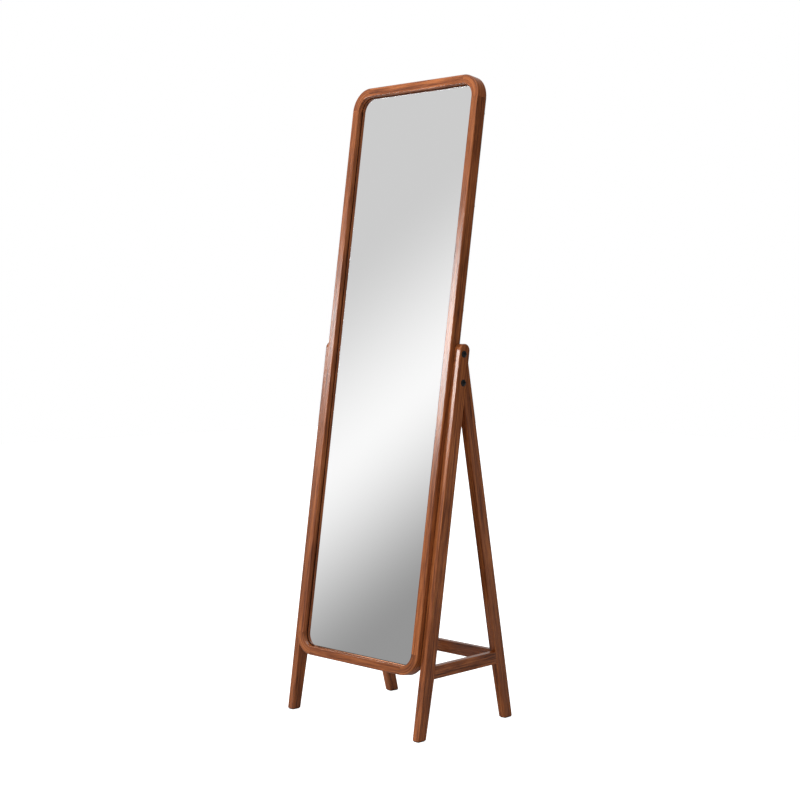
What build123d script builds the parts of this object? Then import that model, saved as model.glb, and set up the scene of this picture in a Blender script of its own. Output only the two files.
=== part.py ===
from build123d import *
from math import cos, radians, sin, tan
import os

# A free-standing floor mirror that tilts between two A-shaped side frames.
# Millimetres. +Z is up, +Y is the back, X = 0 is the middle plane. The origin is on the
# floor, in the middle of the footprint. The tilt axis runs along X through the heads of
# the side frames, a little in front of the middle.

# Tilt axis and the resting lean, shared by the mirror and the front legs
pivot_height = 958.5
pivot_y = -29.9
lean = 8.5

# Mirror frame
mirror_width = 460.0
mirror_height = 1508.0
mirror_above_pivot = 695.0
member_width = 23.5
member_depth = 31.5
pivot_to_face = 26.5
corner_radius = 58.0
rebate_width = 8.0
rebate_from_face = 13.0
outer_edge_round = 3.0
inner_edge_round = 2.0
glass_thickness = 4.0
glass_play = 1.5
bead_width = 7.2
bead_play = 0.2
panel_thickness = 3.0
panel_inset = 4.0
dowel_radius = 3.0
dowel_half_length = 12.0
dowel_from_edge = 8.0
dowel_depths = (8.0, 23.0)
side_screw_heights = (-705.0, -440.0, -160.0, 110.0, 370.0, 600.0)
rail_screw_places = (-120.0, 0.0, 120.0)
panel_screw_length = 15.0
screw_radius = 1.5
screw_head_radius = 3.5
screw_head_height = 2.2
screw_head_round = 1.0

# Stand
leg_gap = 1.0
leg_thickness = 21.0
leg_depth = 34.0
leg_axis_behind_pivot = 3.0
head_above_pivot = 26.0
leg_edge_round = 2.0
foot_round = 1.5
rear_lean = 12.1
rear_axis_from_pivot = -6.0
rear_toe_in = 4.2
front_foot_taper = 6.0
rear_foot_taper = 5.0
stretcher_bottom = 152.5
stretcher_height = 33.0
stretcher_thickness = 17.0
stretcher_edge_round = 1.5
side_stretcher_inset = 0.5
rear_stretcher_behind_pivot = 165.0
taper_below_stretcher = 4.0
glide_thickness = 2.0
glide_inset = 1.8
glide_corner = 2.0
stand_dowel_radius = 4.0
stand_dowel_spacing = 17.0
stand_dowel_half_length = 12.0

# Pivot and lap hardware
bolt_radius = 3.0
thread_play = 0.05
sleeve_radius = 4.0
cap_radius = 8.5
cap_height = 5.5
cap_stand_off = 0.3
lap_bolt_behind_pivot = 8.5
lap_bolt_below_pivot = 70.5
washer_radius = 7.5
bolt_flange_radius = 6.5
bolt_flange = 1.2
bolt_hex_radius = 4.6
bolt_hex = 2.2
cap_mouth = 6.7
cap_mouth_depth = 1.4
cap_hollow_top = 4.8
cap_hollow = 3.6
cap_rim = 1.0
nut_flange_radius = 5.5
nut_flange = 1.2
nut_radius = 4.2
nut_length = 9.0
hole_play = 0.2
plate_thickness = 3.0
plate_above_pivot = 17.0
plate_below_pivot = 36.0
plate_front = 11.0
plate_corner = 1.5
boss_radius = 4.6
boss_length = 8.0
slot_radius = 4.9
boss_end_play = 0.5
plate_screw_reach = 14.0
plate_screw_places = ((-4.0, 12.0), (-4.0, -29.0))
countersink_radius = 3.2
plate_screw_sink = 0.1
plate_screw_head = 1.7

# Worked-out sizes
half_width = mirror_width / 2
member_top = mirror_above_pivot
member_bottom = mirror_above_pivot - mirror_height
back_from_pivot = member_depth - pivot_to_face
leg_inner = half_width + leg_gap
leg_outer = leg_inner + leg_thickness
leg_middle = (leg_inner + leg_outer) / 2
leg_front = leg_axis_behind_pivot - leg_depth / 2
leg_back = leg_axis_behind_pivot + leg_depth / 2
stretcher_top = stretcher_bottom + stretcher_height
stretcher_middle = (stretcher_bottom + stretcher_top) / 2
rear_stretcher_y = pivot_y + rear_stretcher_behind_pivot
legs_angle = lean + rear_lean
rear_half = leg_depth / 2 / cos(radians(legs_angle))

# Directions: up along the leaning mirror, and straight back out of it
lean_up = Vector(0, sin(radians(lean)), cos(radians(lean)))
lean_back = Vector(0, cos(radians(lean)), -sin(radians(lean)))
right = Vector(1, 0, 0)
pivot = Vector(0, pivot_y, pivot_height)


def mirror_point(x, v, depth):
    """A point of the mirror: across, up from the pivot, and back from the frame's face."""
    return pivot + right * x + lean_up * v + lean_back * (depth - pivot_to_face)


def mirror_plane(depth):
    """A plane parallel to the glass, facing the front, at a depth behind the frame's face."""
    return Plane(origin=mirror_point(0, 0, depth), x_dir=right, z_dir=lean_back * -1)


def leg_plane(x):
    """A side plane at x: its x runs straight back from the pivot and its y up along the front leg."""
    return Plane(origin=pivot + right * x, x_dir=lean_back, z_dir=right)


def leg_height(u, z):
    """How far along the front leg, from the pivot, a point u behind the pivot has height z."""
    return (z - pivot_height + u * sin(radians(lean))) / cos(radians(lean))


def rear_axis(t):
    """How far behind the pivot the rear leg's middle line is, t up along the front leg."""
    start_u = rear_axis_from_pivot * cos(radians(lean))
    start_t = rear_axis_from_pivot * sin(radians(lean))
    return start_u + (start_t - t) * tan(radians(legs_angle))


def rear_height(z):
    """How far along the front leg, from the pivot, the rear leg's middle line has height z."""
    rise = z - pivot_height + rear_axis(0) * sin(radians(lean))
    return rise / (cos(radians(lean)) + tan(radians(legs_angle)) * sin(radians(lean)))


def behind_seam(t):
    """How far behind the front leg's back edge the rear leg's middle line is, t up the leg."""
    return rear_axis(t) - leg_back


# The right-hand rear leg and side stretcher lie in a plane that toes in about the back edge
# of the front leg. Its x runs back from that edge and its y up along the front leg.
toe_back = lean_back * cos(radians(rear_toe_in)) - right * sin(radians(rear_toe_in))
toe_out = toe_back.cross(lean_up)
toe_origin = pivot + right * leg_middle + lean_back * leg_back
toe_level = Vector(0, 0, 1).cross(toe_out).normalized() * -1
seam_plane = Plane(origin=toe_origin, z_dir=lean_back)


def toe_plane(offset):
    """The toed-in side plane, moved outward by offset from the middle of the leg."""
    return Plane(origin=toe_origin + toe_out * offset, x_dir=toe_back, z_dir=toe_out)


def save(piece, label):
    """Label a finished piece and write it as its own STEP file."""
    piece.part.label = label
    export_step(piece.part, f"parts/{label}.step")


def save_mirrored(piece, label):
    """Write the left-hand twin of a right-hand piece."""
    with BuildPart() as twin:
        add(mirror(piece.part, about=Plane.YZ))
    save(twin, label)


os.makedirs("parts", exist_ok=True)


# ---------------------------------------------------------------- mirror frame members
def member_section(plane):
    """Section of a frame member: x in from the outer edge, y back from the face."""
    lip = member_width - rebate_width
    with BuildSketch(plane) as section:
        with BuildLine():
            Polyline(
                (0, 0),
                (member_width, 0),
                (member_width, rebate_from_face),
                (lip, rebate_from_face),
                (lip, member_depth),
                (0, member_depth),
                close=True,
            )
        make_face()
        fillet(section.vertices().sort_by(Axis.Y).sort_by(Axis.X)[:2], outer_edge_round)
        fillet(section.vertices().sort_by(Axis.Y)[:2].sort_by(Axis.X)[-1], inner_edge_round)
    return section.sketch


def section_plane(x, v, inward):
    """The plane of a member's section whose outer front edge passes through (x, v)."""
    return Plane(origin=mirror_point(x, v, 0), x_dir=inward, z_dir=inward.cross(lean_back))


inner_x = half_width - corner_radius
inner_top = member_top - corner_radius
inner_bottom = member_bottom + corner_radius
members = {
    "stile_right": (half_width, inner_top, right * -1, inner_top - inner_bottom),
    "stile_left": (-half_width, inner_bottom, right, inner_top - inner_bottom),
    "rail_top": (-inner_x, member_top, lean_up * -1, 2 * inner_x),
    "rail_bottom": (inner_x, member_bottom, lean_up, 2 * inner_x),
}
corners = {
    "corner_top_right": (half_width, inner_top, right * -1, inner_x, inner_top),
    "corner_top_left": (-inner_x, member_top, lean_up * -1, -inner_x, inner_top),
    "corner_bottom_left": (-half_width, inner_bottom, right, -inner_x, inner_bottom),
    "corner_bottom_right": (inner_x, member_bottom, lean_up, inner_x, inner_bottom),
}

# Two hidden dowels at each end of each straight member, running along the member
edge_x = half_width - dowel_from_edge
edge_top = member_top - dowel_from_edge
edge_bottom = member_bottom + dowel_from_edge
frame_dowel_planes = []
for dowel_depth in dowel_depths:
    for x in (-edge_x, edge_x):
        for v in (inner_bottom, inner_top):
            spot = mirror_point(x, v, dowel_depth)
            frame_dowel_planes.append(Plane(origin=spot, z_dir=lean_up))
    for x in (-inner_x, inner_x):
        for v in (edge_bottom, edge_top):
            spot = mirror_point(x, v, dowel_depth)
            frame_dowel_planes.append(Plane(origin=spot, z_dir=right))
frame_dowel_spots = [plane.location for plane in frame_dowel_planes]

# The back panel's screws go into the stiles and rails, outside the rebate
panel_screw_planes = []
for v in side_screw_heights:
    for x in (-edge_x, edge_x):
        spot = mirror_point(x, v, member_depth + panel_thickness)
        panel_screw_planes.append(Plane(origin=spot, z_dir=lean_back))
for x in rail_screw_places:
    for v in (edge_bottom, edge_top):
        spot = mirror_point(x, v, member_depth + panel_thickness)
        panel_screw_planes.append(Plane(origin=spot, z_dir=lean_back))
panel_screw_spots = [plane.location for plane in panel_screw_planes]

# What the pivot plate takes out of a stile: its let-in seat, the slot for its boss, which is
# open to the back, and its screw holes
plate_middle = ((back_from_pivot - plate_front) / 2, (plate_above_pivot - plate_below_pivot) / 2)
plate_width = plate_front + back_from_pivot
plate_length = plate_above_pivot + plate_below_pivot
with BuildPart() as pivot_seat_right:
    with BuildSketch(leg_plane(half_width)):
        with Locations(plate_middle):
            Rectangle(plate_width, plate_length)
    extrude(amount=-plate_thickness)
    with BuildSketch(leg_plane(half_width)):
        Circle(slot_radius)
        with Locations((back_from_pivot, 0)):
            Rectangle(2 * back_from_pivot, 2 * slot_radius)
    extrude(amount=-plate_thickness - boss_length - boss_end_play)
    with BuildSketch(leg_plane(half_width)):
        with Locations(*plate_screw_places):
            Circle(screw_radius)
    extrude(amount=-plate_screw_reach)

pivot_seats = {
    "stile_right": pivot_seat_right.part,
    "stile_left": mirror(pivot_seat_right.part, about=Plane.YZ, mode=Mode.PRIVATE),
}

# Each member keeps the dowel and screw holes that fall inside it
for label, (x, v, inward, length) in members.items():
    with BuildPart() as member:
        extrude(member_section(section_plane(x, v, inward)), amount=length)
        with Locations(*frame_dowel_spots):
            Cylinder(dowel_radius, 2 * dowel_half_length, mode=Mode.SUBTRACT)
        with Locations(*panel_screw_spots):
            Cylinder(screw_radius, 2 * panel_screw_length, mode=Mode.SUBTRACT)
        if label in pivot_seats:
            add(pivot_seats[label], mode=Mode.SUBTRACT)
    save(member, label)

for label, (x, v, inward, centre_x, centre_v) in corners.items():
    with BuildPart() as corner:
        turn = Axis(mirror_point(centre_x, centre_v, 0), lean_back * -1)
        revolve(member_section(section_plane(x, v, inward)), axis=turn, revolution_arc=90)
        with Locations(*frame_dowel_spots):
            Cylinder(dowel_radius, 2 * dowel_half_length, mode=Mode.SUBTRACT)
    save(corner, label)

with BuildPart() as frame_dowels:
    with Locations(*frame_dowel_spots):
        Cylinder(dowel_radius, 2 * dowel_half_length)
save(frame_dowels, "frame_dowels")


# ---------------------------------------------------------------- glass, beads and back
frame_middle = (member_top + member_bottom) / 2
rebate_wall = member_width - rebate_width
glass_inset = rebate_wall + glass_play
with BuildPart() as mirror_glass:
    with BuildSketch(mirror_plane(rebate_from_face)):
        with Locations((0, frame_middle)):
            RectangleRounded(
                mirror_width - 2 * glass_inset,
                mirror_height - 2 * glass_inset,
                corner_radius - glass_inset,
            )
    extrude(amount=-glass_thickness)
save(mirror_glass, "mirror_glass")

bead_front = rebate_from_face + glass_thickness + bead_play
bead_depth = member_depth - bead_front
bead_middle = rebate_wall + bead_play + bead_width / 2
beads = {
    "bead_left": (-half_width + bead_middle, frame_middle, bead_width, inner_top - inner_bottom),
    "bead_right": (half_width - bead_middle, frame_middle, bead_width, inner_top - inner_bottom),
    "bead_top": (0, member_top - bead_middle, 2 * inner_x, bead_width),
    "bead_bottom": (0, member_bottom + bead_middle, 2 * inner_x, bead_width),
}
for label, (x, v, across, along) in beads.items():
    with BuildPart() as bead:
        with BuildSketch(mirror_plane(bead_front)):
            with Locations((x, v)):
                Rectangle(across, along)
        extrude(amount=-bead_depth)
    save(bead, label)

with BuildPart() as back_panel:
    with BuildSketch(mirror_plane(member_depth)):
        with Locations((0, frame_middle)):
            RectangleRounded(
                mirror_width - 2 * panel_inset,
                mirror_height - 2 * panel_inset,
                corner_radius - panel_inset,
            )
    extrude(amount=-panel_thickness)
    with Locations(*panel_screw_spots):
        Cylinder(screw_radius, 2 * panel_screw_length, mode=Mode.SUBTRACT)
save(back_panel, "back_panel")

below = (Align.CENTER, Align.CENTER, Align.MAX)
above = (Align.CENTER, Align.CENTER, Align.MIN)
with BuildPart() as panel_screws:
    with Locations(*panel_screw_spots):
        Cylinder(screw_radius, panel_screw_length, align=below)
        Cylinder(screw_head_radius, screw_head_height, align=above)
    fillet(panel_screws.edges().group_by(Axis(pivot, lean_back))[-1], screw_head_round)
save(panel_screws, "panel_screws")

# ---------------------------------------------------------------- pivot hardware
with BuildPart() as pivot_plate_right:
    with BuildSketch(leg_plane(half_width)):
        with Locations(plate_middle):
            RectangleRounded(plate_width, plate_length, plate_corner)
    extrude(amount=-plate_thickness)
    with BuildSketch(leg_plane(half_width - plate_thickness)):
        Circle(boss_radius)
    extrude(amount=-boss_length)
    with BuildSketch(leg_plane(half_width)):
        Circle(bolt_radius + thread_play)
    extrude(amount=-plate_thickness - boss_length, mode=Mode.SUBTRACT)
    with Locations(leg_plane(half_width).location):
        with Locations(*plate_screw_places):
            CounterSinkHole(screw_radius, countersink_radius, depth=plate_thickness)
save(pivot_plate_right, "pivot_plate_right")
save_mirrored(pivot_plate_right, "pivot_plate_left")

with BuildPart() as plate_screws:
    with Locations(leg_plane(half_width - plate_screw_sink).location):
        with Locations(*plate_screw_places):
            Cylinder(screw_radius, plate_screw_reach - 2 * plate_screw_sink, align=below)
            Cone(screw_radius, countersink_radius - plate_screw_sink, plate_screw_head, align=below)
    mirror(about=Plane.YZ)
save(plate_screws, "plate_screws")


def right_bolt(head_x, tip_x, centre):
    """The right-hand flanged bolt along X: its head's seat at head_x, its end at tip_x."""
    with BuildPart() as bolt:
        with BuildSketch(leg_plane(tip_x)):
            with Locations(centre):
                Circle(bolt_radius)
        extrude(amount=head_x - tip_x)
        with BuildSketch(leg_plane(head_x)):
            with Locations(centre):
                Circle(bolt_flange_radius)
        extrude(amount=bolt_flange)
        with BuildSketch(leg_plane(head_x + bolt_flange)):
            with Locations(centre):
                RegularPolygon(bolt_hex_radius, 6)
        extrude(amount=bolt_hex)
    return bolt.part


def right_cap(seat_x, centre):
    """The right-hand domed cover, hollow over the bolt head, with its rim's face at seat_x."""
    seat = leg_plane(seat_x).from_local_coords(Vector(*centre, 0))
    dome_rise = cap_height - cap_rim
    dome_radius = (cap_radius**2 + dome_rise**2) / (2 * dome_rise)
    with BuildPart() as cap:
        with BuildSketch(Plane(origin=seat, x_dir=lean_up, z_dir=lean_back)):
            with BuildLine():
                Polyline((cap_mouth, 0), (cap_radius, 0), (cap_radius, cap_rim))
                RadiusArc((cap_radius, cap_rim), (0, cap_height), -dome_radius)
                Polyline(
                    (0, cap_height),
                    (0, cap_hollow),
                    (cap_hollow_top, cap_hollow),
                    (cap_mouth, cap_mouth_depth),
                    (cap_mouth, 0),
                )
            make_face()
        revolve(axis=Axis(seat, right))
    return cap.part


def save_both_sides(right_piece, label):
    """Write a right-hand piece and its left-hand twin as one node."""
    with BuildPart() as pair:
        add(right_piece)
        mirror(about=Plane.YZ)
    save(pair, label)


pivot_centre = (0, 0)
lap_centre = (lap_bolt_behind_pivot, -lap_bolt_below_pivot)
pivot_seat_x = leg_outer + cap_stand_off
boss_end_x = half_width - plate_thickness - boss_length
save_both_sides(right_bolt(pivot_seat_x, boss_end_x, pivot_centre), "pivot_bolts")
save_both_sides(right_cap(pivot_seat_x, pivot_centre), "pivot_caps")
save_both_sides(right_bolt(leg_outer, leg_inner + nut_flange, lap_centre), "lap_bolts")
save_both_sides(right_cap(leg_outer, lap_centre), "lap_caps")

# Thin friction washers around the pivot bolts, between each stile and its leg
with BuildPart() as pivot_washer:
    with BuildSketch(leg_plane(half_width)):
        Circle(washer_radius)
        Circle(bolt_radius + thread_play, mode=Mode.SUBTRACT)
    extrude(amount=leg_gap - cap_stand_off)
save_both_sides(pivot_washer.part, "pivot_washers")

# Sleeves pressed into the legs, in which the pivot bolts turn
with BuildPart() as leg_sleeve:
    with BuildSketch(leg_plane(leg_inner)):
        Circle(sleeve_radius)
        Circle(bolt_radius + thread_play, mode=Mode.SUBTRACT)
    extrude(amount=leg_thickness)
save_both_sides(leg_sleeve.part, "leg_sleeves")

# Sleeve nuts of the lap bolts, with their flanges flush in the legs' inner faces
with BuildPart() as lap_nut:
    with BuildSketch(leg_plane(leg_inner)):
        with Locations(lap_centre):
            Circle(nut_flange_radius)
    extrude(amount=nut_flange)
    with BuildSketch(leg_plane(leg_inner + nut_flange)):
        with Locations(lap_centre):
            Circle(nut_radius)
            Circle(bolt_radius, mode=Mode.SUBTRACT)
    extrude(amount=nut_length - nut_flange)
save_both_sides(lap_nut.part, "lap_nuts")

# ---------------------------------------------------------------- dowels of the stretchers
# A side stretcher's run along it into both legs, and the rear stretcher's run along X
stretcher_t = rear_height(stretcher_middle)
rear_joint = behind_seam(stretcher_t) - rear_half
side_stretcher_middle = (leg_thickness - stretcher_thickness) / 2 - side_stretcher_inset
rear_joint_x = leg_inner - tan(radians(rear_toe_in)) * behind_seam(stretcher_t)

stand_dowel_planes = []
for rise in (-stand_dowel_spacing / 2, stand_dowel_spacing / 2):
    for reach in (0, rear_joint):
        t = leg_height(leg_back + reach, stretcher_middle + rise)
        spot = toe_plane(side_stretcher_middle).from_local_coords(Vector(reach, t, 0))
        stand_dowel_planes.append(Plane(origin=spot, z_dir=toe_level))
    spot = Vector(rear_joint_x, rear_stretcher_y, stretcher_middle + rise)
    stand_dowel_planes.append(Plane(origin=spot, z_dir=right))
stand_dowel_spots = [plane.location for plane in stand_dowel_planes]

with BuildPart() as stand_dowels:
    with Locations(*stand_dowel_spots):
        Cylinder(stand_dowel_radius, 2 * stand_dowel_half_length)
    mirror(about=Plane.YZ)
save(stand_dowels, "stand_dowels")

# ---------------------------------------------------------------- front legs
floor_level = Plane.XY.offset(glide_thickness)
well_above = 2 * head_above_pivot
well_below = -pivot_height - 2 * head_above_pivot
head_centre = head_above_pivot - leg_depth / 2
front_taper_t = leg_height(leg_back, stretcher_bottom) - taper_below_stretcher
front_foot_back = leg_back - front_foot_taper

# The rear leg's straight strip carried up through the front leg's inner half
with BuildPart() as lap_strip:
    with BuildSketch(leg_plane(leg_inner)):
        with BuildLine():
            Polyline(
                (rear_axis(-2 * lap_bolt_below_pivot) - rear_half, -2 * lap_bolt_below_pivot),
                (rear_axis(-2 * lap_bolt_below_pivot) + rear_half, -2 * lap_bolt_below_pivot),
                (rear_axis(well_above) + rear_half, well_above),
                (rear_axis(well_above) - rear_half, well_above),
                close=True,
            )
        make_face()
    extrude(amount=leg_thickness / 2)

# The front leg with its round head and tapered foot, before the lap is cut
with BuildPart() as leg_blank:
    with BuildSketch(leg_plane(leg_inner)):
        with BuildLine():
            Polyline(
                (leg_front, head_centre),
                (leg_front, well_below),
                (front_foot_back, well_below),
                (front_foot_back, leg_height(leg_back, 0)),
                (leg_back, front_taper_t),
                (leg_back, head_centre),
            )
            ThreePointArc(
                (leg_back, head_centre),
                (leg_axis_behind_pivot, head_above_pivot),
                (leg_front, head_centre),
            )
        make_face()
    extrude(amount=leg_thickness)
    fillet(leg_blank.faces().filter_by(Axis.X).edges(), leg_edge_round)
    split(bisect_by=floor_level, keep=Keep.TOP)
    fillet(leg_blank.faces().sort_by(Axis.Z)[0].edges(), foot_round)

with BuildPart() as leg_holes:
    with BuildSketch(leg_plane(leg_inner)):
        Circle(sleeve_radius)
        with Locations(lap_centre):
            Circle(bolt_radius + hole_play)
    extrude(amount=leg_thickness)

with BuildPart() as front_leg_right:
    add(leg_blank.part)
    add(lap_strip.part, mode=Mode.SUBTRACT)
    add(leg_holes.part, mode=Mode.SUBTRACT)
    add(stand_dowels.part, mode=Mode.SUBTRACT)
save(front_leg_right, "front_leg_right")
save_mirrored(front_leg_right, "front_leg_left")

# ---------------------------------------------------------------- rear legs
rear_taper_t = rear_height(stretcher_bottom)
rear_foot_t = rear_height(-glide_thickness)
with BuildPart() as rear_leg_right:
    with BuildSketch(toe_plane(-leg_thickness / 2)):
        with BuildLine():
            Polyline(
                (behind_seam(well_above) - rear_half, well_above),
                (behind_seam(rear_taper_t) - rear_half, rear_taper_t),
                (behind_seam(rear_foot_t) - rear_half + rear_foot_taper, rear_foot_t),
                (behind_seam(well_below) - rear_half + rear_foot_taper, well_below),
                (behind_seam(well_below) + rear_half, well_below),
                (behind_seam(well_above) + rear_half, well_above),
                close=True,
            )
        make_face()
    extrude(amount=leg_thickness)
    fillet(rear_leg_right.faces().filter_by(toe_plane(0)).edges(), leg_edge_round)
    split(bisect_by=seam_plane, keep=Keep.TOP)
    split(bisect_by=floor_level, keep=Keep.TOP)
    fillet(rear_leg_right.faces().sort_by(Axis.Z)[0].edges(), foot_round)

# Its tongue laps into the head of the front leg
with BuildPart() as tongue:
    add(lap_strip.part)
    add(leg_blank.part, mode=Mode.INTERSECT)
with rear_leg_right:
    add(tongue.part)
    add(leg_holes.part, mode=Mode.SUBTRACT)
    add(lap_nut.part, mode=Mode.SUBTRACT)
    add(stand_dowels.part, mode=Mode.SUBTRACT)
save(rear_leg_right, "rear_leg_right")
save_mirrored(rear_leg_right, "rear_leg_left")

# ---------------------------------------------------------------- stretchers
rear_leg_front = toe_plane(0).from_local_coords(Vector(rear_joint, stretcher_t, 0))
rear_leg_outward = toe_back * cos(radians(legs_angle)) + lean_up * sin(radians(legs_angle))
rear_front_face = Plane(origin=rear_leg_front, z_dir=rear_leg_outward)
stretcher_start = -leg_depth / 2
stretcher_end = rear_joint + leg_depth
with BuildPart() as side_stretcher_right:
    with BuildSketch(toe_plane(side_stretcher_middle - stretcher_thickness / 2)):
        with BuildLine():
            Polyline(
                (stretcher_start, leg_height(leg_back + stretcher_start, stretcher_bottom)),
                (stretcher_end, leg_height(leg_back + stretcher_end, stretcher_bottom)),
                (stretcher_end, leg_height(leg_back + stretcher_end, stretcher_top)),
                (stretcher_start, leg_height(leg_back + stretcher_start, stretcher_top)),
                close=True,
            )
        make_face()
    extrude(amount=stretcher_thickness)
    fillet(side_stretcher_right.edges().sort_by(SortBy.LENGTH)[-4:], stretcher_edge_round)
    split(bisect_by=seam_plane, keep=Keep.TOP)
    split(bisect_by=rear_front_face, keep=Keep.BOTTOM)
    add(stand_dowels.part, mode=Mode.SUBTRACT)
save(side_stretcher_right, "side_stretcher_right")
save_mirrored(side_stretcher_right, "side_stretcher_left")

inner_face_point = toe_origin - toe_out * (leg_thickness / 2)
rear_inner_face = Plane(origin=inner_face_point, z_dir=toe_out)
rear_inner_face_left = Plane(
    origin=Vector(-inner_face_point.X, inner_face_point.Y, inner_face_point.Z),
    z_dir=Vector(-toe_out.X, toe_out.Y, toe_out.Z),
)
rear_stretcher_plane = Plane(origin=(0, rear_stretcher_y, stretcher_middle), z_dir=right)
with BuildPart() as rear_stretcher:
    with BuildSketch(rear_stretcher_plane):
        RectangleRounded(stretcher_height, stretcher_thickness, stretcher_edge_round)
    extrude(amount=half_width, both=True)
    split(bisect_by=rear_inner_face, keep=Keep.BOTTOM)
    split(bisect_by=rear_inner_face_left, keep=Keep.BOTTOM)
    add(stand_dowels.part, mode=Mode.SUBTRACT)
save(rear_stretcher, "rear_stretcher")

# ---------------------------------------------------------------- foot glides
front_foot_u = (leg_front + front_foot_back) / 2
front_foot_t = leg_height(front_foot_u, glide_thickness)
front_foot = leg_plane(leg_middle).from_local_coords(Vector(front_foot_u, front_foot_t, 0))
front_foot_depth = (front_foot_back - leg_front) / cos(radians(lean))
rear_foot_reach = behind_seam(rear_foot_t) + rear_foot_taper / 2
rear_foot = toe_plane(0).from_local_coords(Vector(rear_foot_reach, rear_foot_t, 0))
rear_foot_depth = (leg_depth - rear_foot_taper) / cos(radians(rear_lean))
glide_width = leg_thickness - 2 * glide_inset
rear_foot_plane = Plane(origin=(rear_foot.X, rear_foot.Y, 0), x_dir=toe_level.cross(Vector(0, 0, 1)))
with BuildPart() as foot_glides:
    with BuildSketch(Plane(origin=(front_foot.X, front_foot.Y, 0))):
        RectangleRounded(glide_width, front_foot_depth - 2 * glide_inset, glide_corner)
    with BuildSketch(rear_foot_plane):
        RectangleRounded(glide_width, rear_foot_depth - 2 * glide_inset, glide_corner)
    extrude(amount=glide_thickness)
    mirror(about=Plane.YZ)
save(foot_glides, "foot_glides")
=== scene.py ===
import math

import bmesh
import bpy
from mathutils import Matrix, Vector


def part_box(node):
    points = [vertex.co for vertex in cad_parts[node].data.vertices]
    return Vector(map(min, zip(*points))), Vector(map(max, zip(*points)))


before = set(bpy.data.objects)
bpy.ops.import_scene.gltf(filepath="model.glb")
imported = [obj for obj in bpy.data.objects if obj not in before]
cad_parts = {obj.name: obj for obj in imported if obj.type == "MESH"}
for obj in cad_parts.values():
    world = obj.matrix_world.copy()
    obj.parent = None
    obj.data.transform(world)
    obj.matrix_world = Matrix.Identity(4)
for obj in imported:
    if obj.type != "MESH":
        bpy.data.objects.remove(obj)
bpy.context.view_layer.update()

# ---------------------------------------------------------------- sizes and tones
# A leg's depth and a frame member's width in the CAD, in metres
leg_depth = 0.034
member_width = 0.0235

# Times per metre that each layer of the wood's figure repeats, along the grain and twice across it
ring_rate = (4.5, 150, 150)
streak_rate = (13, 330, 330)
fibre_rate = (55, 2100, 2100)
pore_rate = (150, 3400, 3400)
wander_rate = (2.4, 9.0, 9.0)
blotch_rate = 7.0
noise_middle = (0.5, 0.5, 0.5)

# How wide a band the grain wanders in, in metres
wander_band = (0.0, 0.016, 0.016)

# How much each layer adds to the tone
ring_weight = 0.40
streak_weight = 0.48
fibre_weight = 0.18

# The stain from dark to light, with where each colour stands in the tone
stain_stops = (
    (0.41, (0.122, 0.034, 0.0120)),
    (0.49, (0.300, 0.086, 0.0270)),
    (0.56, (0.420, 0.126, 0.0385)),
    (0.65, (0.560, 0.182, 0.0560)),
)
blotch_stops = ((0.30, (0.80, 0.76, 0.74)), (0.70, (1.10, 1.12, 1.12)))

# The pores: which part of their noise is open, how strongly they darken, and how much they roughen
pore_range = (0.63, 0.74)
pore_colour = (0.045, 0.014, 0.006, 1)
pore_strength = 0.55
pore_roughness = 0.15

# The dark line at a glued joint fades out between these distances from it, in metres
joint_fade = (0.0002, 0.0011)
joint_colour = (0.06, 0.018, 0.008, 1)
joint_strength = 0.55

# The lacquer: how rough over the streaks, how much it reflects, and its relief in metres
streak_range = (0.3, 0.7)
lacquer_roughness = (0.13, 0.17)
lacquer_reflection = 0.24
relief_strength = 0.08
relief_height = 0.0002
fibre_relief = 0.5

# Boards that are lighter or darker than the rest
top_shade = 1.20
bottom_shade = 0.86
left_leg_shade = 0.82
rear_leg_shade = 0.96
bead_shade = 0.8
dowel_shade = 1.6

# How far apart in the same figure two boards are cut, in metres for each step of the seed
board_step = (0.731, 0.217, 0.459)

# The glass: its haze, and a painted shadow border, the shaded rebate as seen through the glass's
# edge, that fades in between two distances inside the frame's opening, in metres
haze_rate = 5.0
haze_range = (0.45, 0.75)
haze_roughness = (0.004, 0.012)
shadow_border_inner = 0.0042
shadow_border_outer = 0.0026
silver_colour = (0.865, 0.865, 0.865, 1)
painted_shadow_colour = (0.10, 0.045, 0.025, 1)

# The lit panel in the studio surround: angles in degrees to the left of the front and up
panel_turn = 47.5
panel_slope = 1.3
panel_lower_edge = (-1.8, 8.2)
panel_upper_edge = (7.0, 16.5)
panel_side_fade = (14.0, 38.0)
panel_brightness = 0.40

# The walls round the panel, below and above its lower edge
wall_brightness = (0.345, 0.70)

# The walls elsewhere: brighter towards the front left, and higher up
left_direction = (-0.75, -0.65)
left_range = (-0.9, 0.9)
left_brightness = (0.15, 0.92)
high_range = (-0.3, 0.9)
high_factor = (0.75, 1.35)

# The softbox: what it is turned to, and where it stands from there, to the left of the front and up
softbox_target = Vector((0.16, -0.04, 1.0))
softbox_turn = math.radians(46.0)
softbox_rise = math.radians(11.2)
softbox_far = 9.0
softbox_width = 1.30
softbox_height = 1.45
softbox_radiance = 27.0
softbox_roll = math.radians(-50)

# The light overhead
top_place = (-0.8, -1.2, 3.4)
top_target = (0, 0, 0.6)
top_side = 2.4
top_radiance = 1.6

floor_half = 9.0
floor_colour = (0.60, 0.60, 0.60, 1)
floor_roughness = 0.7

# The camera: turned to the right of the front, dipped, and its distance from what it is aimed at
camera_turn = math.radians(46.21)
camera_dip = math.radians(7.18)
camera_far = 4.2647
sensor_width = 36
focal_ratio = 2.0333
shift_up = 0.1547
aim_across = 0.0139
aim_height = 0.5124
aim_behind = -0.0269


# ---------------------------------------------------------------- places worked out from the CAD
def middle(node):
    """The middle of a node's box."""
    low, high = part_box(node)
    return (Vector(low) + Vector(high)) / 2


def size(node):
    """How long a node's box is each way."""
    low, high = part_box(node)
    return Vector(high) - Vector(low)


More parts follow.
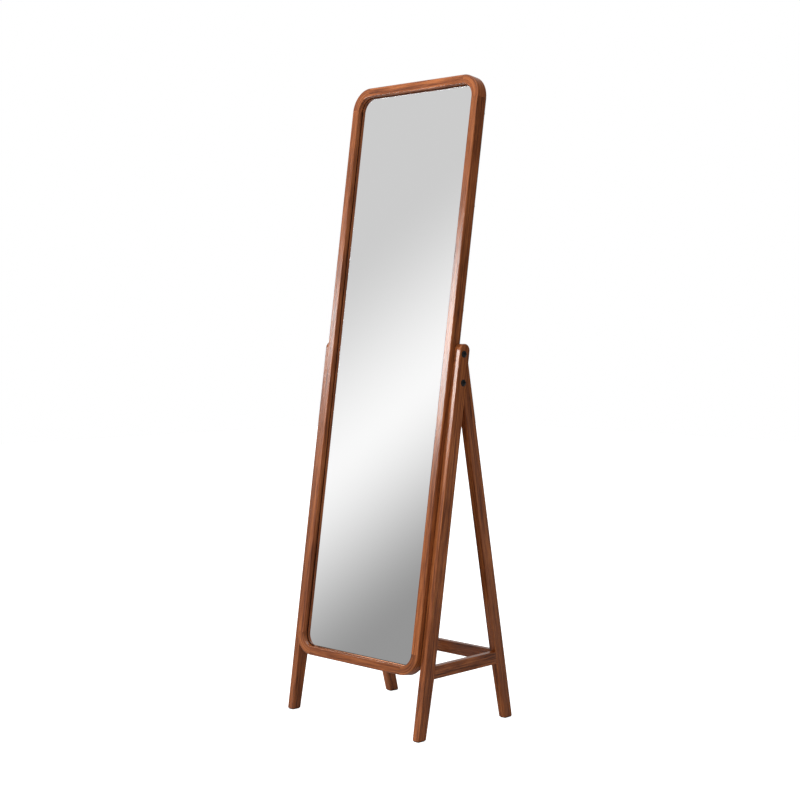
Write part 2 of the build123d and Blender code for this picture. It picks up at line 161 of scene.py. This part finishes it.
across = Vector((1, 0, 0))
upright = Vector((0, 0, 1))

# The mirror's lean, from where its top and bottom rails are
lean_up = middle("rail_top") - middle("rail_bottom")
lean_up.x = 0
lean_up.normalize()

leg_thickness = size("front_leg_right").x
rail_half = size("rail_top").x / 2
stile_half = math.hypot(size("bead_left").y, size("bead_left").z) / 2
bend_radius = (size("mirror_glass").x - size("bead_top").x) / 2


def rear_leg_run(leg, side):
    """A rear leg's direction, from its foot to its head; side is 1 on the right and -1 on the left."""
    extent = size(leg)
    return Vector((side * (extent.x - leg_thickness), leg_depth - extent.y, extent.z)).normalized()


def side_stretcher_run(stretcher, side):
    """A side stretcher's direction, from front to back; side is 1 on the right and -1 on the left."""
    extent = size(stretcher)
    return Vector((side * (leg_thickness - extent.x), extent.y, 0)).normalized()


# ---------------------------------------------------------------- shader helpers
class Nodes:
    """Adds nodes to one node tree and joins them."""

    def __init__(self, tree):
        self.tree = tree
        tree.nodes.clear()

    def add(self, kind, inputs=None, **settings):
        """A new node: sockets by name or number take a value or another node's socket."""
        node = self.tree.nodes.new(kind)
        for name, value in settings.items():
            setattr(node, name, value)
        for name, value in (inputs or {}).items():
            socket = node.inputs[name]
            if isinstance(value, bpy.types.NodeSocket):
                self.tree.links.new(value, socket)
            else:
                socket.default_value = value
        return node

    def coords(self):
        """Where a point is on the object, in metres."""
        return self.add("ShaderNodeTexCoord").outputs["Object"]

    def split(self, vector):
        """A vector's x, y and z sockets."""
        return self.add("ShaderNodeSeparateXYZ", {"Vector": vector}).outputs

    def math(self, operation, a, b=0.0):
        """One Math node's result."""
        return self.add("ShaderNodeMath", {0: a, 1: b}, operation=operation).outputs[0]

    def length(self, a, b):
        """How long the third side is, opposite the right angle between two others."""
        squares = self.math("ADD", self.math("MULTIPLY", a, a), self.math("MULTIPLY", b, b))
        return self.math("SQRT", squares)

    def vector(self, operation, a, b):
        """One Vector Math node's vector."""
        return self.add("ShaderNodeVectorMath", {0: a, 1: b}, operation=operation).outputs[0]

    def noise(self, coords, scale, detail, roughness=0.5):
        """A Noise texture's value, 0 to 1."""
        inputs = {"Vector": coords, "Scale": scale, "Detail": detail, "Roughness": roughness}
        return self.add("ShaderNodeTexNoise", inputs).outputs["Fac"]

    def remap(self, value, low, high, to_low=0.0, to_high=1.0):
        """A value moved smoothly from one range to another, and held at its ends."""
        inputs = {"Value": value, "From Min": low, "From Max": high, "To Min": to_low, "To Max": to_high}
        return self.add("ShaderNodeMapRange", inputs, interpolation_type="SMOOTHSTEP").outputs["Result"]

    def between(self, factor, a, b):
        """A value part of the way from a to b."""
        return self.add("ShaderNodeMix", {0: factor, 2: a, 3: b}, data_type="FLOAT").outputs[0]

    def mix(self, factor, a, b, blend="MIX"):
        """Two colours mixed."""
        inputs = {0: factor, 6: a, 7: b}
        return self.add("ShaderNodeMix", inputs, data_type="RGBA", blend_type=blend).outputs[2]

    def ramp(self, value, stops):
        """A colour ramp over a value."""
        node = self.add("ShaderNodeValToRGB", {"Fac": value})
        elements = node.color_ramp.elements
        while len(elements) < len(stops):
            elements.new(1.0)
        for element, (place, colour) in zip(elements, stops):
            element.position = place
            element.color = (*colour, 1)
        return node.outputs["Color"]

    def bump(self, height, strength, distance):
        """A bump normal."""
        inputs = {"Height": height, "Strength": strength, "Distance": distance}
        return self.add("ShaderNodeBump", inputs).outputs["Normal"]

    def surface(self, colour, roughness, normal=None, **constants):
        """The Principled shader and the output. Constants go straight on its sockets."""
        inputs = {"Base Color": colour, "Roughness": roughness}
        if normal is not None:
            inputs["Normal"] = normal
        inputs.update({name.replace("_", " "): value for name, value in constants.items()})
        shader = self.add("ShaderNodeBsdfPrincipled", inputs)
        self.add("ShaderNodeOutputMaterial", {"Surface": shader.outputs[0]})


def new_material(name):
    """An empty node material and its helper."""
    material = bpy.data.materials.new(name)
    material.use_nodes = True
    return material, Nodes(material.node_tree)


def dress(material, *names):
    """Give CAD nodes this material."""
    for name in names:
        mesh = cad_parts[name].data
        mesh.materials.clear()
        mesh.materials.append(material)


# ---------------------------------------------------------------- stained, lacquered wood
def member_coords(n, centre, along, side):
    """Coordinates in metres with x along the grain and y and z across it."""
    depth = along.cross(side).normalized()
    turn = Matrix((along, side, depth))
    place = turn @ centre * -1
    inputs = {"Vector": n.coords(), "Location": place, "Rotation": turn.to_euler()}
    return n.add("ShaderNodeMapping", inputs).outputs["Vector"]


def bent_coords(n, centre, radius):
    """The same for a corner block, whose grain runs round its bend's centre."""
    x, y, z = n.split(member_coords(n, centre, across, lean_up))
    turn = n.math("MULTIPLY", n.math("ARCTAN2", y, x), radius)
    return n.add("ShaderNodeCombineXYZ", {"X": turn, "Y": n.length(x, y), "Z": z}).outputs["Vector"]


def stained_wood(name, coords_of, seed, end_along=None, shade=1.0):
    """Walnut-stained hardwood under semi-gloss lacquer, with its grain along coords x."""
    material, n = new_material(name)
    coords = coords_of(n)
    moved = n.vector("ADD", coords, tuple(seed * step for step in board_step))

    # The grain wanders a few millimetres from side to side along the board
    slow = n.vector("MULTIPLY", moved, wander_rate)
    wander = n.add("ShaderNodeTexNoise", {"Vector": slow, "Scale": 1.0, "Detail": 1.0}).outputs["Color"]
    wander = n.vector("MULTIPLY", n.vector("SUBTRACT", wander, noise_middle), wander_band)
    grain = n.vector("ADD", moved, wander)

    rings = n.noise(n.vector("MULTIPLY", grain, ring_rate), 1.0, detail=3.0, roughness=0.55)
    streaks = n.noise(n.vector("MULTIPLY", grain, streak_rate), 1.0, detail=3.0, roughness=0.6)
    fibres = n.noise(n.vector("MULTIPLY", grain, fibre_rate), 1.0, detail=2.0, roughness=0.6)
    blotches = n.noise(moved, blotch_rate, detail=2.0)
    pores = n.noise(n.vector("MULTIPLY", grain, pore_rate), 1.0, detail=1.0)
    pores = n.remap(pores, *pore_range)

    # Rings, streaks and fibres together pick the stain, and blotches and pores darken it
    tone = n.math("ADD", n.math("MULTIPLY", rings, ring_weight), n.math("MULTIPLY", streaks, streak_weight))
    tone = n.math("ADD", tone, n.math("MULTIPLY", fibres, fibre_weight))
    stops = [(place, [shade * level for level in colour]) for place, colour in stain_stops]
    colour = n.ramp(tone, stops)
    colour = n.mix(1.0, colour, n.ramp(blotches, blotch_stops), "MULTIPLY")
    colour = n.mix(n.math("MULTIPLY", pores, pore_strength), colour, pore_colour)

    if end_along is not None:
        # A fine dark line where the stain pools in the glued joints at both ends
        low, high = end_along
        x = n.split(coords)["X"]
        from_low = n.math("SUBTRACT", x, low)
        from_high = n.math("SUBTRACT", high, x)
        line = n.remap(n.math("MINIMUM", from_low, from_high), *joint_fade, joint_strength, 0.0)
        colour = n.mix(line, colour, joint_colour)

    roughness = n.remap(streaks, *streak_range, *lacquer_roughness)
    roughness = n.math("ADD", roughness, n.math("MULTIPLY", pores, pore_roughness))
    height = n.math("SUBTRACT", n.math("MULTIPLY", fibres, fibre_relief), pores)
    normal = n.bump(height, relief_strength, relief_height)
    n.surface(colour, roughness, normal, Specular_IOR_Level=lacquer_reflection)
    return material


def straight(node, centre, along, side, seed, **more):
    """A straight member's wood, with its grain along it."""
    stained = stained_wood("wood_" + node, lambda n: member_coords(n, centre, along, side), seed, **more)
    dress(stained, node)


def dress_frame():
    """Rails and stiles with joint lines at their ends, and corner blocks with bent grain."""
    rails = ("rail_top", "rail_bottom")
    shades = {"rail_top": top_shade, "rail_bottom": bottom_shade}
    for seed, node in enumerate(rails, 1):
        ends = (-rail_half, rail_half)
        straight(node, middle(node), across, lean_up, seed, end_along=ends, shade=shades[node])
    for seed, side_name in enumerate(("left", "right"), 3):
        ends = (-stile_half, stile_half)
        straight("stile_" + side_name, middle("bead_" + side_name), lean_up, across, seed, end_along=ends)

    corners = [(rail, side) for rail in rails for side in (-1, 1)]
    for seed, (rail, side) in enumerate(corners, 20):
        node = rail.replace("rail", "corner") + ("_right" if side == 1 else "_left")
        upward = 1 if rail == "rail_top" else -1
        centre = middle("bead_left") + lean_up * (upward * stile_half)
        centre.x = side * rail_half
        bent = stained_wood(
            "wood_" + node, lambda n: bent_coords(n, centre, bend_radius), seed, shade=shades[rail]
        )
        dress(bent, node)


def dress_stand():
    """Legs and stretchers, each with its grain along its own length."""
    for side_name, side, seed, front_shade in (("left", -1, 30, left_leg_shade), ("right", 1, 40, 1.0)):
        front = "front_leg_" + side_name
        rear = "rear_leg_" + side_name
        rung = "side_stretcher_" + side_name
        straight(front, middle(front), lean_up, across, seed, shade=front_shade)
        straight(rear, middle(rear), rear_leg_run(rear, side), across, seed + 1, shade=rear_leg_shade)
        straight(rung, middle(rung), side_stretcher_run(rung, side), upright, seed + 2)
    straight("rear_stretcher", middle("rear_stretcher"), across, upright, 50)


def dress_small_wood():
    """Beads along the glass, and dowels."""
    beads = (
        ("bead_left", lean_up, across),
        ("bead_right", lean_up, across),
        ("bead_top", across, lean_up),
        ("bead_bottom", across, lean_up),
    )
    for seed, (node, run, other) in enumerate(beads, 60):
        straight(node, middle(node), run, other, seed, shade=bead_shade)
    straight("frame_dowels", middle("frame_dowels"), lean_up, across, 70, shade=dowel_shade)
    straight("stand_dowels", middle("stand_dowels"), across, lean_up, 71, shade=dowel_shade)


# ---------------------------------------------------------------- mirror, back, fittings
def outside_opening(n):
    """How far outside the frame's rounded opening a point is; less than nothing inside it."""
    top = middle("rail_top")
    bottom = middle("rail_bottom")
    half_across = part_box("stile_right")[0][0]
    half_along = ((top - bottom).length - member_width) / 2
    bend = half_across - rail_half
    split = n.split(member_coords(n, (top + bottom) / 2, across, lean_up))
    past_x = n.math("SUBTRACT", n.math("ABSOLUTE", split["X"]), half_across - bend)
    past_y = n.math("SUBTRACT", n.math("ABSOLUTE", split["Y"]), half_along - bend)
    round_part = n.length(n.math("MAXIMUM", past_x, 0.0), n.math("MAXIMUM", past_y, 0.0))
    flat_part = n.math("MINIMUM", n.math("MAXIMUM", past_x, past_y), 0.0)
    return n.math("SUBTRACT", n.math("ADD", round_part, flat_part), bend)


def silvered_glass():
    """Silvered float glass with the faintest haze, and a painted shadow round its edge where the shaded
    rebate shows through the glass.
    """
    material, n = new_material("silvered_glass")
    haze = n.noise(n.coords(), haze_rate, detail=3.0)
    roughness = n.remap(haze, *haze_range, *haze_roughness)
    # Painted shadow: a dark brown border where the shaded rebate shows through the glass's edge
    painted_shadow_border = n.remap(outside_opening(n), -shadow_border_inner, -shadow_border_outer)
    n.surface(n.mix(painted_shadow_border, silver_colour, painted_shadow_colour), roughness, Metallic=1.0)
    return material


def hardboard():
    """Smooth brown hardboard with a fine speckle, pale flecks and darker clouds."""
    material, n = new_material("hardboard")
    coords = n.coords()
    speckle = n.noise(coords, scale=900.0, detail=3.0, roughness=0.7)
    cloud = n.noise(coords, scale=6.0, detail=3.0)
    flecks = n.remap(n.noise(coords, scale=260.0, detail=2.0, roughness=0.6), 0.56, 0.70, to_high=0.5)
    colour = n.ramp(speckle, [(0.3, (0.10, 0.056, 0.034)), (0.7, (0.21, 0.125, 0.076))])
    colour = n.mix(flecks, colour, (0.27, 0.175, 0.110, 1))
    colour = n.mix(n.remap(cloud, 0.35, 0.65, to_high=0.45), colour, (0.10, 0.060, 0.038, 1))
    normal = n.bump(speckle, strength=0.3, distance=0.0002)
    n.surface(colour, n.remap(cloud, 0.3, 0.7, to_low=0.55, to_high=0.7), normal)
    return material


def zinc():
    """Zinc-plated steel with fine dull stains."""
    material, n = new_material("zinc_plate")
    stain = n.noise(n.coords(), scale=220.0, detail=3.0)
    colour = n.ramp(stain, [(0.3, (0.50, 0.50, 0.47)), (0.7, (0.70, 0.70, 0.68))])
    n.surface(colour, n.remap(stain, 0.3, 0.7, to_low=0.22, to_high=0.42), Metallic=1.0)
    return material


def black_plastic(name, level, smoothest, roughest, reflection):
    """Dark moulded plastic with a fine spark-eroded grain."""
    material, n = new_material(name)
    coords = n.coords()
    grain = n.noise(coords, scale=2600.0, detail=2.0)
    dust = n.noise(coords, scale=60.0, detail=2.0)
    clean = (level, level, level * 1.1)
    dusty = (level * 1.7, level * 1.7, level * 1.8)
    colour = n.ramp(dust, [(0.3, clean), (0.75, dusty)])
    roughness = n.remap(dust, 0.3, 0.7, smoothest, roughest)
    normal = n.bump(grain, strength=0.15, distance=0.0001)
    n.surface(colour, roughness, normal, Specular_IOR_Level=reflection)
    return material


def nylon():
    """Milky nylon."""
    material, n = new_material("nylon")
    cloud = n.noise(n.coords(), scale=300.0, detail=2.0)
    colour = n.ramp(cloud, [(0.3, (0.62, 0.60, 0.54)), (0.7, (0.74, 0.72, 0.66))])
    n.surface(colour, n.remap(cloud, 0.3, 0.7, to_low=0.4, to_high=0.5))
    return material


def dress_fittings():
    """The glass, the back and everything that isn't wood."""
    dress(silvered_glass(), "mirror_glass")
    dress(hardboard(), "back_panel")
    dress(
        zinc(), "panel_screws", "plate_screws", "pivot_plate_left", "pivot_plate_right",
        "pivot_bolts", "lap_bolts", "lap_nuts",
    )
    cap = black_plastic("black_cap", level=0.003, smoothest=0.20, roughest=0.26, reflection=0.30)
    dress(cap, "pivot_caps", "lap_caps")
    glide = black_plastic("dark_glide", level=0.030, smoothest=0.50, roughest=0.65, reflection=0.50)
    dress(glide, "foot_glides")
    dress(nylon(), "pivot_washers", "leg_sleeves")


# ---------------------------------------------------------------- stage
def make_floor():
    """A wide, plain, pale floor, white to the camera."""
    mesh = bpy.data.meshes.new("floor")
    shape = bmesh.new()
    bmesh.ops.create_grid(shape, x_segments=1, y_segments=1, size=floor_half)
    shape.to_mesh(mesh)
    shape.free()
    floor = bpy.data.objects.new("floor", mesh)
    bpy.context.scene.collection.objects.link(floor)
    material, n = new_material("pale_floor")
    seen = n.add("ShaderNodeLightPath").outputs["Is Camera Ray"]
    n.surface(floor_colour, floor_roughness, Emission_Color=(1, 1, 1, 1), Emission_Strength=seen)
    mesh.materials.append(material)


def make_world():
    """A studio surround: dimmer low down, with a slanting lit panel on the front left."""
    world = bpy.data.worlds.new("studio")
    world.use_nodes = True
    bpy.context.scene.world = world
    n = Nodes(world.node_tree)
    x, y, z = n.split(n.add("ShaderNodeTexCoord").outputs["Generated"])

    # How high and how far to the right of the front a direction points, in degrees
    degrees = 180 / math.pi
    rise = n.math("MULTIPLY", n.math("ARCSINE", z), degrees)
    turn = n.math("MULTIPLY", n.math("ARCTAN2", x, n.math("MULTIPLY", y, -1.0)), degrees)
    from_panel = n.math("ADD", turn, panel_turn)
    slant = n.math("SUBTRACT", rise, n.math("MULTIPLY", from_panel, panel_slope))

    # The panel is a slanting band, soft along both long edges and faded out to either side
    lower = n.remap(slant, *panel_lower_edge)
    upper = n.remap(slant, *panel_upper_edge, 1.0, 0.0)
    near = n.remap(n.math("ABSOLUTE", from_panel), *panel_side_fade, 1.0, 0.0)
    wall = n.remap(slant, *panel_lower_edge, *wall_brightness)
    panel = n.math("MULTIPLY", n.math("MULTIPLY", lower, upper), panel_brightness)
    front = n.math("ADD", wall, panel)

    # Away from the panel it is brighter to the front left and overhead
    leftward = [n.math("MULTIPLY", part, share) for part, share in zip((x, y), left_direction)]
    left = n.remap(n.math("ADD", *leftward), *left_range, *left_brightness)
    around = n.math("MULTIPLY", left, n.remap(z, *high_range, *high_factor))
    level = n.between(near, around, front)

    # The camera itself sees plain white
    seen = n.add("ShaderNodeLightPath").outputs["Is Camera Ray"]
    strength = n.between(seen, level, 1.0)
    shader = n.add("ShaderNodeBackground", {"Color": (1, 1, 1, 1), "Strength": strength})
    n.add("ShaderNodeOutputWorld", {"Surface": shader.outputs[0]})


def area_light(name, place, target, width, height, radiance, roll=0.0):
    """A soft rectangular light at a place, turned to a target, with a brightness."""
    light = bpy.data.lights.new(name, "AREA")
    light.shape = "RECTANGLE"
    light.size = width
    light.size_y = height
    light.energy = radiance * math.pi * width * height
    lamp = bpy.data.objects.new(name, light)
    bpy.context.scene.collection.objects.link(lamp)
    facing = (Vector(target) - Vector(place)).to_track_quat("-Z", "Y").to_matrix()
    lamp.matrix_world = Matrix.Translation(place) @ (facing @ Matrix.Rotation(roll, 3, "Z")).to_4x4()
    return lamp


def make_softbox():
    """The softbox that makes the glare on the lacquer, and that the glass leaves out."""
    toward = Vector((
        -math.sin(softbox_turn) * math.cos(softbox_rise),
        -math.cos(softbox_turn) * math.cos(softbox_rise),
        math.sin(softbox_rise),
    ))
    place = softbox_target + toward * softbox_far
    softbox = area_light(
        "softbox", place, softbox_target, softbox_width, softbox_height, softbox_radiance, softbox_roll
    )
    shaded = bpy.data.collections.new("softbox_leaves_out")
    shaded.objects.link(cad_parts["mirror_glass"])
    softbox.light_linking.receiver_collection = shaded
    shaded.collection_objects[0].light_linking.link_state = "EXCLUDE"


def make_camera():
    """The camera, to the right of the front and looking down a little."""
    camera = bpy.data.cameras.new("camera")
    camera.sensor_width = sensor_width
    camera.lens = focal_ratio * sensor_width
    camera.shift_y = shift_up
    camera_object = bpy.data.objects.new("camera", camera)
    bpy.context.scene.collection.objects.link(camera_object)
    looking = Vector((
        -math.sin(camera_turn) * math.cos(camera_dip),
        math.cos(camera_turn) * math.cos(camera_dip),
        -math.sin(camera_dip),
    ))
    aim = Vector((
        aim_across * math.cos(camera_turn),
        aim_across * math.sin(camera_turn) + aim_behind,
        aim_height,
    ))
    camera_object.location = aim - looking * camera_far
    camera_object.rotation_euler = (math.pi / 2 - camera_dip, 0, camera_turn)
    bpy.context.scene.camera = camera_object


# ---------------------------------------------------------------- the scene
dress_frame()
dress_stand()
dress_fittings()
dress_small_wood()
make_floor()
make_world()
make_softbox()
area_light("top_light", top_place, top_target, top_side, top_side, top_radiance)
make_camera()
bpy.context.scene.view_settings.view_transform = "Standard"
